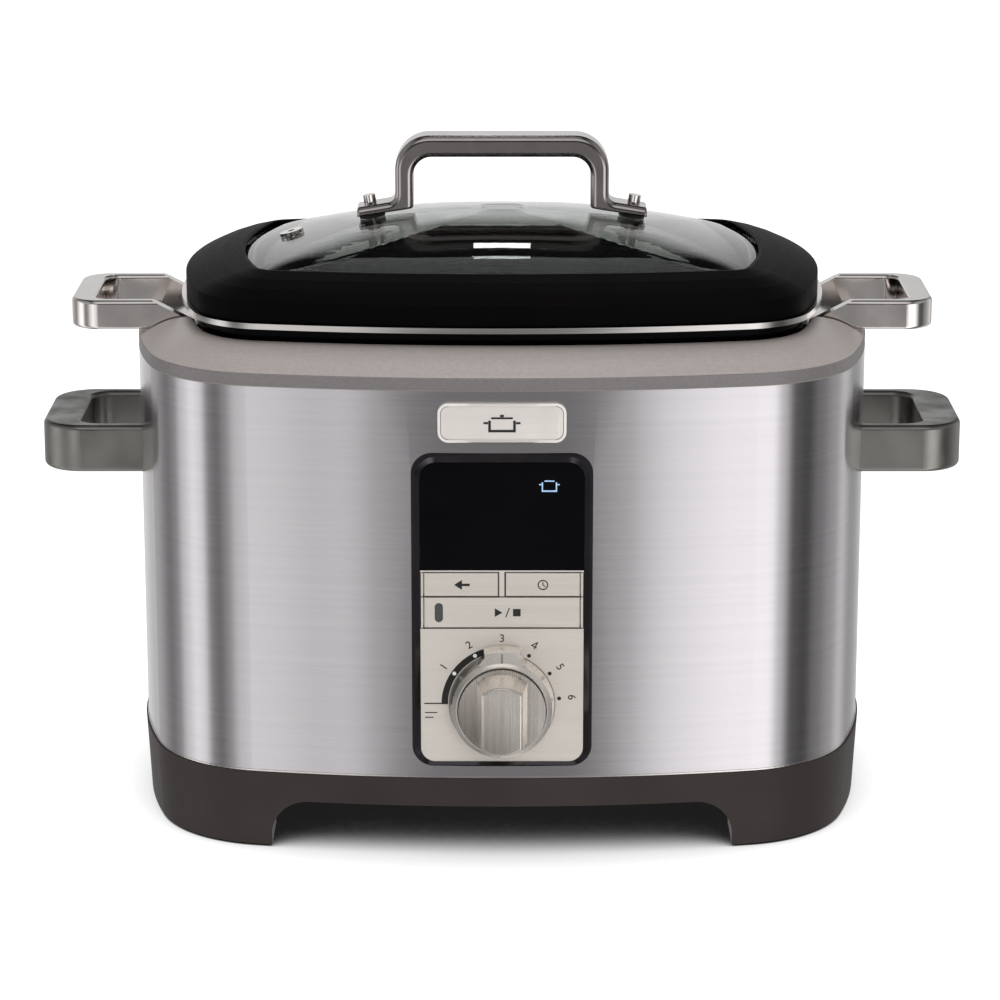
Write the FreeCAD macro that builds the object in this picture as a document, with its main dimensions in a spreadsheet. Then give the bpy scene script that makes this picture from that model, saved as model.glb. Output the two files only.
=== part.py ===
import FreeCAD, Part
import math
import os
import re
import Sketcher

# Slow cooker. Millimetres, +Z up, the front is -Y and the floor is z = 0. The pieces are drawn with x = y = 0 at the
# centre of the housing. Each finished piece is then placed origin_y further back, which puts the origin under the middle
# of the whole object, dial included.

doc = FreeCAD.newDocument("SlowCooker")
Vector = FreeCAD.Vector

SIZES = {
    "origin_y": 11.25,
    # plan of the housing: four tangent arcs a side
    "half_width": 180, "half_depth": 130, "bow_front": 646, "bow_side": 252, "corner": 63,
    # base tray
    "foot_lift": 1.2, "arch_top": 24.4, "arch_half": 111, "arch_round": 18, "floor_low": 24.6, "floor_top": 27.4,
    "base_top": 38.5, "post_x": 122, "post_y": 66, "pad_x": 134, "pad_y": 80, "pad_r": 9,
    # shell, collar and heating well
    "shell_wall": 1, "shell_top": 228.4, "band_top": 233.9, "collar_top": 244.5, "collar_in": 25, "notch_half": 38.5,
    "notch_floor": 236, "well_low": 106, "well_in": 30, "plate_top": 111.7,
    # control panel
    "frame_half": 42.6, "frame_low": 44.8, "frame_high": 198.5, "bezel_half": 38.8, "bezel_low": 46.2, "bezel_high": 193.6,
    "panel_front": 127.6, "panel_thick": 2, "panel_half": 38.6, "split": 141.1, "board_front": 118, "board_thick": 1.6,
    "key_half": 36.8, "key_mid": 128.2, "key_low": 113, "key_high": 139.9, "key_gap": 0.5, "key_proud": 0.3,
    "key_post": 1.8, "bezel_lean": 60,
    # dial
    "dial_z": 75, "ring_r": 25, "ring_tip": 29.4, "knob_r": 20.7, "shaft_r": 3, "ring_back": 128.2, "ring_face": 138.4,
    "disc_face": 141, "grip_face": 155.5, "grip_root": 12, "grip_end": 18.98, "grip_lean": 9.3, "sleeve_r": 12, "sleeve_end": 130.9, "knob_back": 131.4,
    # side handles
    "grip_x": 227.2, "grip_y": 41.5, "grip_low": 166.8, "grip_high": 190.3, "grip_bar": 19, "grip_arm": 7.6,
    # pot
    "pot_low": 112, "pot_wall": 1.6, "pot_in": 33, "rim_low": 250.7, "rim_high": 253.4, "ear_x": 211.4, "ear_y": 36,
    "ear_low": 237.4, "ear_high": 251.7, "ear_bar": 12, "ear_arm": 6.8,
    # lid
    "lid_low": 253.8, "lid_side": 263.7, "crest": 273.3, "glass_in": 50, "glass_edge": 266, "glass_thick": 4,
    "dome": 22.5, "bail_x": 52.6, "bail_top": 328.6, "bail_under": 317.9, "bail_y": 10, "bail_leg": 9,
    "bolt_x": 64, "bolt_z": 286.9, "bolt_lean": 9,
}

sheet = doc.addObject("Spreadsheet::Sheet", "Sizes")
for row, (alias, size) in enumerate(SIZES.items(), start=1):
    sheet.set(f"A{row}", alias)
    sheet.set(f"B{row}", str(size))
    sheet.setAlias(f"B{row}", alias)
doc.recompute()


def link(text):
    """The formula with each size name pointed at its cell in the sheet."""
    def cell(word):
        return "Sizes." + word.group(0) if word.group(0) in SIZES else word.group(0)
    return re.sub(r"[a-z][a-z_]*", cell, str(text))


def number(text):
    """The present value of a formula."""
    value = sheet.evalExpression(link(text))
    return float(getattr(value, "Value", value))


def bind(owner, target, text):
    owner.setExpression(target, link(text))


# ---- sketches ----

def body(name):
    piece = doc.addObject("PartDesign::Body", name)
    piece.Label = name
    return piece


def sketch(owner, plane, offset="0"):
    """A sketch on one of the body's own origin planes, moved along the plane's normal: XY up, XZ to the front, YZ to +X."""
    made = owner.newObject("Sketcher::SketchObject", owner.Name + "_sketch")
    base = next(f for f in owner.Origin.OriginFeatures if f.Role == plane + "_Plane")
    made.AttachmentSupport = (base, "")
    made.MapMode = "FlatFace"
    made.AttachmentOffset = FreeCAD.Placement(Vector(0, 0, number(offset)), FreeCAD.Rotation())
    bind(made, "AttachmentOffset.Base.z", offset)
    return made


def size(made, kind, *args):
    """A dimension of the sketch, held by a formula, which is the last argument."""
    text = args[-1]
    index = made.addConstraint(Sketcher.Constraint(kind, *args[:-1], number(text)))
    bind(made, f"Constraints[{index}]", text)


def locate(made, index, point, x, y):
    """Hold one point of the sketch at x, y, each a formula."""
    size(made, "DistanceX", -1, 1, index, point, x)
    size(made, "DistanceY", -1, 1, index, point, y)


def outline(made, inset="0", scale="1", corner="corner"):
    """The housing's plan shape, moved inwards by the inset and scaled: eight tangent arcs, cut at the back centre.
    Another corner radius makes the shape rounder or squarer within the same width and depth."""
    half_w, half_d = number("half_width") - number(inset), number("half_depth") - number(inset)
    front, side = number("bow_front") - number(inset), number("bow_side") - number(inset)
    round_r = number(corner) - number(inset)
    back_y, side_x = half_d - front, half_w - side
    far = math.hypot(side_x, back_y)
    along = ((front - round_r) ** 2 - (side - round_r) ** 2 + far ** 2) / (2 * far)
    rise = math.sqrt((front - round_r) ** 2 - along ** 2)
    unit_x, unit_y = side_x / far, -back_y / far
    spots = [(along * unit_x - rise * unit_y * s, back_y + along * unit_y + rise * unit_x * s) for s in (1, -1)]
    corner_x, corner_y = max(spots, key=sum)
    turn = math.atan2(corner_y - back_y, corner_x)
    lean = math.atan2(corner_y, corner_x - side_x)
    pi = math.pi
    arcs = [
        (0, back_y, front, pi / 2, pi - turn), (-corner_x, corner_y, round_r, pi - turn, pi - lean),
        (-side_x, 0, side, pi - lean, pi + lean), (-corner_x, -corner_y, round_r, pi + lean, pi + turn),
        (0, -back_y, front, pi + turn, 2 * pi - turn), (corner_x, -corner_y, round_r, -turn, -lean),
        (side_x, 0, side, -lean, lean), (corner_x, corner_y, round_r, lean, turn), (0, back_y, front, turn, pi / 2),
    ]
    factor = number(scale)
    for x, y, r, start, end in arcs:
        circle_ = Part.Circle(Vector(x * factor, y * factor, 0), Vector(0, 0, 1), r * factor)
        made.addGeometry(Part.ArcOfCircle(circle_, start, end), False)
    for index in range(8):
        made.addConstraint(Sketcher.Constraint("Tangent", index, 2, index + 1, 1))
    radii = {"bow_front": (0, 4, 8), "bow_side": (2, 6), corner: (1, 3, 5, 7)}
    for name, indices in radii.items():
        for index in indices:
            size(made, "Radius", index, f"({name} - ({inset})) * {scale}")
    for index, right, up in ((0, 0, -1), (8, 0, -1), (4, 0, 1), (2, 1, 0), (6, -1, 0)):
        for kind, sign, text in (("DistanceX", right, "bow_side - half_width"), ("DistanceY", up, "bow_front - half_depth")):
            text = f"({text}) * {scale}"
            if sign == 0:
                made.addConstraint(Sketcher.Constraint("PointOnObject", index, 3, -2 if kind == "DistanceX" else -1))
            elif sign > 0:
                size(made, kind, -1, 1, index, 3, text)
            else:
                size(made, kind, index, 3, -1, 1, text)
    made.addConstraint(Sketcher.Constraint("PointOnObject", 0, 1, -2))
    made.addConstraint(Sketcher.Constraint("PointOnObject", 8, 2, -2))


def polygon(made, points):
    """A closed outline of straight lines. A third entry in a point bends the line that leaves it to that radius,
    turning left where it is positive and right where it is negative."""
    spots = [Vector(number(p[0]), number(p[1]), 0) for p in points]
    count = len(points)
    first = made.GeometryCount
    for index, point in enumerate(points):
        start, end = spots[index], spots[(index + 1) % count]
        if len(point) == 2:
            made.addGeometry(Part.LineSegment(start, end), False)
            continue
        radius = number(point[2])
        chord = end - start
        normal = Vector(-chord.y, chord.x, 0).normalize()
        reach = math.sqrt(max(radius ** 2 - (chord.Length / 2) ** 2, 0))
        centre = (start + end) * 0.5 + normal * math.copysign(reach, radius)
        angles = [math.atan2(spot.y - centre.y, spot.x - centre.x) for spot in (start, end)]
        if radius < 0:
            angles.reverse()
        made.addGeometry(Part.ArcOfCircle(Part.Circle(centre, Vector(0, 0, 1), abs(radius)), *angles), False)
    for index, point in enumerate(points):
        after = (index + 1) % count
        bent, bent_after = len(point) == 3, len(points[after]) == 3
        end_point = 2 if not bent or number(point[2]) > 0 else 1
        start_after = 1 if not bent_after or number(points[after][2]) > 0 else 2
        made.addConstraint(Sketcher.Constraint("Coincident", first + index, end_point, first + after, start_after))
    for index, point in enumerate(points):
        bent = len(point) == 3
        locate(made, first + index, 1 if not bent or number(point[2]) > 0 else 2, point[0], point[1])
        if bent:
            size(made, "Radius", first + index, str(point[2]).lstrip("-"))


def rectangle(made, left, low, right, high):
    polygon(made, [(left, low), (right, low), (right, high), (left, high)])


def rounded(made, left, low, right, high, radius):
    """A rectangle with four round corners."""
    x0, y0, x1, y1, r = (number(v) for v in (left, low, right, high, radius))
    first = made.GeometryCount
    pi = math.pi
    corners = [(x1 - r, y0 + r, -pi / 2, 0), (x1 - r, y1 - r, 0, pi / 2), (x0 + r, y1 - r, pi / 2, pi),
               (x0 + r, y0 + r, pi, 3 * pi / 2)]
    for x, y, start, end in corners:
        made.addGeometry(Part.ArcOfCircle(Part.Circle(Vector(x, y, 0), Vector(0, 0, 1), r), start, end), False)
    ends = [((x1, y0 + r), (x1, y1 - r)), ((x1 - r, y1), (x0 + r, y1)), ((x0, y1 - r), (x0, y0 + r)), ((x0 + r, y0), (x1 - r, y0))]
    for start, end in ends:
        made.addGeometry(Part.LineSegment(Vector(*start, 0), Vector(*end, 0)), False)
    for index in range(4):
        line = first + 4 + index
        made.addConstraint(Sketcher.Constraint("Tangent", first + index, 2, line, 1))
        made.addConstraint(Sketcher.Constraint("Tangent", line, 2, first + (index + 1) % 4, 1))
        size(made, "Radius", first + index, radius)
    locate(made, first + 3, 3, f"{left} + {radius}", f"{low} + {radius}")
    locate(made, first + 1, 3, f"{right} - {radius}", f"{high} - {radius}")


def circle(made, x, y, radius):
    index = made.addGeometry(Part.Circle(Vector(number(x), number(y), 0), Vector(0, 0, 1), number(radius)), False)
    locate(made, index, 3, x, y)
    size(made, "Radius", index, radius)


# ---- features ----

def feature(owner, kind, profile, length):
    made = owner.newObject("PartDesign::" + kind, owner.Name + "_" + kind)
    made.Profile = profile
    made.Length = number(length)
    bind(made, "Length", length)
    if kind == "Pocket":
        made.Reversed = True
    profile.Visibility = False
    return made


def pad(owner, profile, length, taper=None):
    made = feature(owner, "Pad", profile, length)
    if taper:
        made.TaperAngle = number(taper)
        bind(made, "TaperAngle", taper)
    return made


def pocket(owner, profile, length, taper=None):
    """A cut that runs along the sketch plane's normal, as a pad does. It has to take material away."""
    doc.recompute()
    before = owner.Shape.Volume
    made = feature(owner, "Pocket", profile, length)
    if taper:
        made.TaperAngle = number(taper)
        bind(made, "TaperAngle", taper)
    doc.recompute()
    if owner.Shape.Volume > before - 0.01:
        raise RuntimeError("a pocket cut nothing in " + owner.Label)
    return made


def plan_pad(owner, low, high, inset="0", scale="1"):
    """A block with the housing's plan shape, between two heights."""
    made = sketch(owner, "XY", low)
    outline(made, inset, scale)
    return pad(owner, made, f"({high}) - ({low})")


def plan_pocket(owner, low, high, inset="0", scale="1"):
    made = sketch(owner, "XY", low)
    outline(made, inset, scale)
    return pocket(owner, made, f"({high}) - ({low})")


def hoop(owner, points, inset="0", scale="1"):
    """A profile in the plane x = 0, at the back, carried round the housing's plan shape."""
    path = sketch(owner, "XY")
    outline(path, inset, scale)
    profile = sketch(owner, "YZ")
    if callable(points):
        points(profile)
    else:
        polygon(profile, points)
    made = owner.newObject("PartDesign::AdditivePipe", owner.Name + "_hoop")
    made.Profile = profile
    made.Spine = (path, [f"Edge{index}" for index in range(1, 10)])
    return made


def drill(owner, plane, start, length, spots, radius):
    made = sketch(owner, plane, start)
    for x, y in spots:
        circle(made, x, y, radius)
    return pocket(owner, made, length)


def soften(owner, radius, pick, kind="Fillet"):
    """Round (or chamfer) the edges of the body's last shape that the test picks by their centre and direction."""
    doc.recompute()
    last = owner.Tip
    names = []
    for index, edge in enumerate(last.Shape.Edges, start=1):
        ends = [v.Point for v in edge.Vertexes]
        way = (ends[-1] - ends[0]) if len(ends) > 1 else Vector()
        if pick(edge.CenterOfMass, way):
            names.append(f"Edge{index}")
    made = owner.newObject("PartDesign::" + kind, owner.Name + "_" + kind)
    made.Base = (last, names)
    target = "Radius" if kind == "Fillet" else "Size"
    setattr(made, target, number(radius))
    bind(made, target, radius)
    doc.recompute()
    return made


# ---- plain solids, for screws and small fittings ----

WAYS = {
    "up": FreeCAD.Rotation(),
    "back": FreeCAD.Rotation(Vector(1, 0, 0), -90),
    "right": FreeCAD.Rotation(Vector(0, 1, 0), 90),
}


def place(made, x, y, z, turn=None):
    made.Placement = FreeCAD.Placement(Vector(number(x), number(y), number(z)), turn or FreeCAD.Rotation())
    for axis, text in zip("xyz", (x, y, z)):
        bind(made, "Placement.Base." + axis, text)
    return made


def rod(x, y, z, radius, height, way="up"):
    """A cylinder that starts at x, y, z and runs up, back or right."""
    made = doc.addObject("Part::Cylinder", "rod")
    bind(made, "Radius", radius)
    bind(made, "Height", height)
    return place(made, x, y, z, WAYS[way])


def block(x, y, z, length, width, height):
    made = doc.addObject("Part::Box", "block")
    for name, text in (("Length", length), ("Width", width), ("Height", height)):
        bind(made, name, text)
    return place(made, x, y, z)


def join(name, pieces):
    if len(pieces) == 1:
        pieces[0].Label = name
        return pieces[0]
    made = doc.addObject("Part::MultiFuse", name)
    made.Shapes = pieces
    made.Label = name
    return made


def take(name, base, tool):
    made = doc.addObject("Part::Cut", name)
    made.Base = base
    made.Tool = tool
    made.Label = name
    return made


def screws(name, seats, way, head_r, head_h, shank_r, shank_h):
    """Screws whose shank runs up, down, to the front or to a side from the seat, each seat being x, y, z."""
    pieces = []
    steps = {"up": (2, 1), "down": (2, -1), "front": (1, -1), "right": (0, 1), "left": (0, -1)}
    axis, sign = steps[way]
    lay = {0: "right", 1: "back", 2: "up"}[axis]
    for seat in seats:
        for radius, height, forward in ((head_r, head_h, False), (shank_r, shank_h, True)):
            spot = list(seat)
            if (sign > 0) != forward:
                spot[axis] = f"{spot[axis]} - {height}"
            pieces.append(rod(*spot, radius, height, lay))
    return join(name, pieces)


def four(x, y):
    return [(x, y), (f"-{x}", y), (x, f"-{y}"), (f"-{x}", f"-{y}")]


# ---- base ----

base_tray = body("base_tray")
hoop(base_tray, [
    ("half_depth - 1", "foot_lift"), ("half_depth + 1", "base_top"), ("half_depth - 1.4", "base_top"),
    ("half_depth - 1.4", "base_top + 4"), ("half_depth - 3.4", "base_top + 4"), ("half_depth - 4.6", "foot_lift"),
])
plan_pad(base_tray, "floor_low", "floor_top", "2.4")
for side in ("", "-"):
    for end in ("", "-"):
        corner_block = sketch(base_tray, "XY", "foot_lift")
        points = [(f"{side}88", f"{end}88"), (f"{side}126", f"{end}88"), (f"{side}126", f"{end}(half_depth - 14.6)"),
                  (f"{side}88", f"{end}(half_depth - 8)")]
        polygon(corner_block, points)
        pad(base_tray, corner_block, "floor_low - foot_lift + 0.1")
bosses = sketch(base_tray, "XY", "foot_lift")
for x, y in four("pad_x", "pad_y"):
    circle(bosses, x, y, "pad_r + 2.6")
pad(base_tray, bosses, "floor_low - foot_lift + 0.1")
arch = sketch(base_tray, "XZ", "-half_depth - 10")
rounded(arch, "-arch_half", "-40", "arch_half", "arch_top", "arch_round")
pocket(base_tray, arch, "2 * half_depth + 20")
drill(base_tray, "XY", "foot_lift", "2.6", four("pad_x", "pad_y"), "pad_r + 0.05")
drill(base_tray, "XY", "floor_low", "3", four("post_x", "post_y"), "2.2")
board_posts = sketch(base_tray, "XY", "floor_top - 0.1")
BOARD_SPOTS = [("-16", "14"), ("72", "14"), ("-16", "70"), ("72", "70")]
for x, y in BOARD_SPOTS:
    circle(board_posts, x, y, "3.5")
pad(base_tray, board_posts, "10.1")
drill(base_tray, "XY", "floor_top + 2", "8.2", BOARD_SPOTS, "1.4")

foot_pads = join("foot_pads", [rod(x, y, "0", "pad_r", "foot_lift + 2.5") for x, y in four("pad_x", "pad_y")])
base_screws = screws("base_screws", [(x, y, "floor_low") for x, y in four("post_x", "post_y")], "up", "4", "2.5", "1.9", "15")
well_screws = screws("well_screws", [(x, y, "well_low + 1") for x, y in four("post_x", "post_y")], "down", "4", "2.2", "1.9", "14")
post_blanks = join("post_blanks", [rod(x, y, "floor_top", "5", "well_low - floor_top") for x, y in four("post_x", "post_y")])
post_bores = join("post_bores", [rod(x, y, z, "1.9", "15") for x, y in four("post_x", "post_y")
                                 for z in ("floor_top - 0.5", "well_low - 14.5")])
standoff_posts = take("standoff_posts", post_blanks, post_bores)

# ---- shell, collar and heating well ----

outer_shell = body("outer_shell")
plan_pad(outer_shell, "base_top", "shell_top")
plan_pocket(outer_shell, "base_top - 1", "shell_top - 1", "shell_wall")
plan_pocket(outer_shell, "shell_top - 2", "shell_top + 1", "9")
window = sketch(outer_shell, "XZ", "100")
rounded(window, "-frame_half - 0.1", "frame_low - 0.1", "frame_half + 0.1", "frame_high + 0.1", "10.1")
pocket(outer_shell, window, "40")
drill(outer_shell, "YZ", "-half_width - 10", "2 * half_width + 20", [("37.7", "178.5"), ("-37.7", "178.5")], "2.6")
drill(outer_shell, "XZ", "-half_depth - 5", "20", [("0", "56")], "7.5")

collar = body("collar")
hoop(collar, [
    ("half_depth", "shell_top"), ("half_depth", "band_top"), ("half_depth - 0.8", "band_top + 1.1", "35.6"),
    ("half_depth - collar_in", "collar_top"), ("half_depth - collar_in", "231"), ("half_depth - 22.8", "231"),
    ("half_depth - 22.8", "233.4"), ("half_depth - 2.6", "233.4"), ("half_depth - 2.6", "shell_top"),
])
notch = sketch(collar, "YZ", "-half_width - 10")
rounded(notch, "-notch_half", "notch_floor", "notch_half", "notch_floor + 40", "3")
pocket(collar, notch, "2 * half_width + 20")

heating_well = body("heating_well")
plan_pad(heating_well, "shell_top", "shell_top + 1", "3")
plan_pad(heating_well, "well_low", "shell_top + 1", "well_in - 1")
plan_pocket(heating_well, "well_low + 1", "shell_top + 2", "well_in")
plan_pocket(heating_well, "well_low - 1", "well_low + 2", "pot_in", "0.70")
drill(heating_well, "XY", "well_low - 1", "3", four("post_x", "post_y"), "2.2")
PLATE_SPOTS = [("110", "0"), ("-110", "0"), ("0", "72.8"), ("0", "-72.8")]
drill(heating_well, "XY", "well_low - 1", "3", PLATE_SPOTS, "2.2")

well_insulation = body("well_insulation")
plan_pad(well_insulation, "118", "222", "well_in - 4.6")
plan_pocket(well_insulation, "117", "223", "well_in - 1")

heater_plate = body("heater_plate")
plan_pad(heater_plate, "well_low + 1", "plate_top", "pot_in", "0.80")
soften(heater_plate, "1", lambda c, way: c.z > number("plate_top") - 0.1)
drill(heater_plate, "XY", "well_low", "4", PLATE_SPOTS, "1.9")
plate_screws = screws("plate_screws", [(x, y, "well_low") for x, y in PLATE_SPOTS], "up", "3.6", "2.2", "1.9", "4")

heating_element = body("heating_element")
hoop(heating_element, lambda made: circle(made, "(half_depth - pot_in) * 0.5", "well_low - 2.6", "3.5"), "pot_in", "0.5")
tails = sketch(heating_element, "XY", "90")
for x in ("-14", "14"):
    circle(tails, x, "(half_depth - pot_in) * 0.5", "3.2")
pad(heating_element, tails, "13")

heat_shield = body("heat_shield")
plan_pad(heat_shield, "80", "86", "40")
plan_pocket(heat_shield, "80.8", "87", "40.8")
drill(heat_shield, "XY", "79", "3", four("post_x - 0", "post_y"), "5")
shield_slot = sketch(heat_shield, "XY", "79")
rounded(shield_slot, "-20", "40", "20", "57", "4")
pocket(heat_shield, shield_slot, "3")

temperature_sensor = join("temperature_sensor", [rod("0", "0", "99", "5", "8"), rod("0", "0", "94", "2.4", "5.5")])
thermal_fuse = join("thermal_fuse", [rod("-12", "-24", "104", "2.6", "24", "right"), block("-5", "-27.5", "101", "10", "7", "6")])

# ---- mains electronics ----

power_board = body("power_board")
card = sketch(power_board, "XY", "floor_top + 10")
rounded(card, "-21", "9", "77", "75", "3")
pad(power_board, card, "board_thick")
drill(power_board, "XY", "floor_top + 9", "4", BOARD_SPOTS, "1.6")
CARD_TOP = "floor_top + 10 + board_thick"
relay = join("relay", [block("-10", "20", CARD_TOP, "19", "15.5", "15.6")])
transformer = join("transformer", [block("28", "24", CARD_TOP, "30", "26", "22"), block("24", "31", CARD_TOP, "38", "12", "20")])
terminal_blank = join("terminal_blank", [block("-8", "56", CARD_TOP, "30", "14", "14")])
terminal_holes = join("terminal_holes", [rod(x, "60", "floor_top + 18", "2.2", "12", "back") for x in ("-3", "7", "17")])
terminal_block = take("terminal_block", terminal_blank, terminal_holes)
power_board_screws = screws("power_board_screws", [(x, y, CARD_TOP) for x, y in BOARD_SPOTS], "down", "2.8", "1.8", "1.4", "8")

cord_gland = body("cord_gland")
gland_flange = sketch(cord_gland, "XZ", "-half_depth - 3")
circle(gland_flange, "0", "56", "10.5")
pad(cord_gland, gland_flange, "3")
gland_neck = sketch(cord_gland, "XZ", "-half_depth")
circle(gland_neck, "0", "56", "7.4")
pad(cord_gland, gland_neck, "14")
drill(cord_gland, "XZ", "-half_depth - 4", "20", [("0", "56")], "3.6")

# ---- control panel ----

panel_frame = body("panel_frame")
frame_blank = sketch(panel_frame, "XZ", "board_front")
rounded(frame_blank, "-frame_half", "frame_low", "frame_half", "frame_high", "10")
pad(panel_frame, frame_blank, "half_depth + 3 - board_front")
around = sketch(panel_frame, "XY", "frame_low - 1")
outline(around, "-0.3")
rectangle(around, "-half_width - 40", "-half_depth - 40", "half_width + 40", "half_depth + 40")
pocket(panel_frame, around, "frame_high - frame_low + 2")
flange = sketch(panel_frame, "XZ", "124.9")
rounded(flange, "-frame_half - 4", "frame_low - 2.2", "frame_half + 4", "frame_high + 3", "12")
pad(panel_frame, flange, "2")
inside = sketch(panel_frame, "XZ", "board_front - 1")
rounded(inside, "-bezel_half", "bezel_low", "bezel_half", "bezel_high", "7.5")
pocket(panel_frame, inside, "20")
bevel = sketch(panel_frame, "XZ", "panel_front")
rounded(bevel, "-bezel_half", "bezel_low", "bezel_half", "bezel_high", "7.5")
pocket(panel_frame, bevel, "4", "bezel_lean")
pillars = sketch(panel_frame, "XZ", "board_front")
for z in ("53", "105", "149.5", "190"):
    for x in ("37", "-37"):
        circle(pillars, x, z, "3.8")
pad(panel_frame, pillars, "panel_front - panel_thick - board_front")
BOARD_HOLES = [(x, z) for z in ("53", "190") for x in ("37", "-37")]
drill(panel_frame, "XZ", "board_front - 1", "7", BOARD_HOLES, "1.3")

display_lens = body("display_lens")
glass_front = sketch(display_lens, "XZ", "panel_front - panel_thick")
rounded(glass_front, "-panel_half", "split + 0.1", "panel_half", "bezel_high - 0.2", "7")
pad(display_lens, glass_front, "panel_thick")
square_foot = sketch(display_lens, "XZ", "panel_front - panel_thick")
rectangle(square_foot, "-panel_half", "split + 0.1", "panel_half", "split + 12")
pad(display_lens, square_foot, "panel_thick")

display_module = join("display_module", [
    block("-31", "-panel_front + panel_thick", "149", "62", "3.6", "39"),
    block("-26", "-board_front - 4.1", "152", "52", "4.1", "33"),
])

control_plate = body("control_plate")
plate_blank = sketch(control_plate, "XZ", "panel_front - panel_thick")
rounded(plate_blank, "-panel_half", "bezel_low + 0.2", "panel_half", "split", "7")
pad(control_plate, plate_blank, "panel_thick")
square_top = sketch(control_plate, "XZ", "panel_front - panel_thick")
rectangle(square_top, "-panel_half", "split - 12", "panel_half", "split")
pad(control_plate, square_top, "panel_thick")
key_window = sketch(control_plate, "XZ", "panel_front - panel_thick - 1")
polygon(key_window, [
    ("-key_half - key_gap", "key_low - key_gap"), ("key_half + key_gap", "key_low - key_gap"),
    ("key_half + key_gap", "key_high + key_gap"), ("key_post - key_gap", "key_high + key_gap"),
    ("key_post - key_gap", "key_mid + key_gap / 2"), ("key_gap - key_post", "key_mid + key_gap / 2"),
    ("key_gap - key_post", "key_high + key_gap"), ("-key_half - key_gap", "key_high + key_gap"),
])
pocket(control_plate, key_window, "4")
drill(control_plate, "XZ", "panel_front - panel_thick - 1", "4", [("0", "dial_z")], "15.4")

control_board = body("control_board")
board = sketch(control_board, "XZ", "board_front - board_thick")
rounded(board, "-bezel_half", "48", "bezel_half", "194", "3")
pad(control_board, board, "board_thick")
drill(control_board, "XZ", "board_front - 3", "4", BOARD_HOLES, "1.6")
panel_screws = screws("panel_screws", [(x, "-board_front + board_thick", z) for x, z in BOARD_HOLES],
                      "front", "2.6", "1.8", "1.3", "6.5")

SWITCHES = [("-19", "134"), ("19", "134"), ("0", "120.5")]
tact_switches = join("tact_switches", [
    piece for x, z in SWITCHES for piece in (
        block(f"{x} - 3", "-board_front - 1.7", f"{z} - 3", "6", "1.7", "6"),
        rod(x, "-board_front - 2", z, "1.6", "0.4", "back"),
    )
])

encoder_body = body("encoder_body")
case = sketch(encoder_body, "XZ", "board_front")
rounded(case, "-6.5", "dial_z - 6.5", "6.5", "dial_z + 6.5", "1")
pad(encoder_body, case, "6")
bush = sketch(encoder_body, "XZ", "board_front")
circle(bush, "0", "dial_z", "shaft_r + 1.6")
pad(encoder_body, bush, "sleeve_end - board_front")
drill(encoder_body, "XZ", "board_front + 2", "20", [("0", "dial_z")], "shaft_r + 0.05")

mode_switch = body("mode_switch")
ring_base = sketch(mode_switch, "XZ", "board_front")
circle(ring_base, "0", "dial_z", "sleeve_r + 4")
circle(ring_base, "0", "dial_z", "sleeve_r - 1.5")
pad(mode_switch, ring_base, "4.4")
sleeve = sketch(mode_switch, "XZ", "board_front")
circle(sleeve, "0", "dial_z", "sleeve_r")
circle(sleeve, "0", "dial_z", "sleeve_r - 1.5")
pad(mode_switch, sleeve, "sleeve_end - board_front")


def on_shell_front(owner, proud, left, low, right, high, radius):
    """A badge-like plate that lies on the curved front of the shell."""
    plan_pad(owner, low, high, f"-({proud})")
    plan_pocket(owner, f"{low} - 1", f"{high} + 1", "0")
    shape = sketch(owner, "XZ", "100")
    rounded(shape, left, low, right, high, radius)
    rectangle(shape, "-half_width - 20", f"{low} - 20", "half_width + 20", f"{high} + 20")
    pocket(owner, shape, "60")
    behind = sketch(owner, "XZ", "-half_depth - 20")
    rectangle(behind, "-half_width - 20", f"{low} - 20", "half_width + 20", f"{high} + 20")
    pocket(owner, behind, "half_depth + 121")


badge = body("badge")
on_shell_front(badge, "1.4", "-30", "204", "30", "222.7", "5")

# ---- keys and dial ----


def key(name, left, low, right, high, spot, hook_left, hook_right):
    """A key cap with a hook flange behind the plate and a stem that meets its switch."""
    cap = body(name)
    face = sketch(cap, "XZ", "panel_front - panel_thick - 2.2")
    rectangle(face, left, low, right, high)
    pad(cap, face, "panel_thick + 2.2 + key_proud")
    soften(cap, "0.5", lambda c, way: c.y < -number("panel_front + key_proud") + 0.05, "Chamfer")
    hook = sketch(cap, "XZ", "panel_front - panel_thick - 2.2")
    rectangle(hook, f"{left} - {hook_left}", f"{low} + 0.6", f"{right} + {hook_right}", f"{high} - 0.6")
    pad(cap, hook, "1.9")
    stem = sketch(cap, "XZ", "board_front + 3.2")
    circle(stem, *spot, "1.5")
    pad(cap, stem, "panel_front - board_front - 5.4 + 0.5")
    return cap


back_button = key("back_button", "-key_half", "key_mid + key_gap / 2", "-key_post", "key_high", SWITCHES[0], "1.4", "0")
timer_button = key("timer_button", "key_post", "key_mid + key_gap / 2", "key_half", "key_high", SWITCHES[1], "0", "1.4")
start_stop_button = key("start_stop_button", "-key_half", "key_low", "key_half", "key_mid - key_gap / 2", SWITCHES[2],
                        "1.4", "1.4")
lamp_slot = sketch(start_stop_button, "XZ", "board_front")
rounded(lamp_slot, "-31.8", "115.8", "-27.9", "125.2", "1.9")
pocket(start_stop_button, lamp_slot, "20")
led_lens = body("led_lens")
lamp = sketch(led_lens, "XZ", "panel_front - panel_thick - 2.2")
rounded(lamp, "-31.8", "115.8", "-27.9", "125.2", "1.9")
pad(led_lens, lamp, "panel_thick + 2.2 + key_proud - 0.1")

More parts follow.
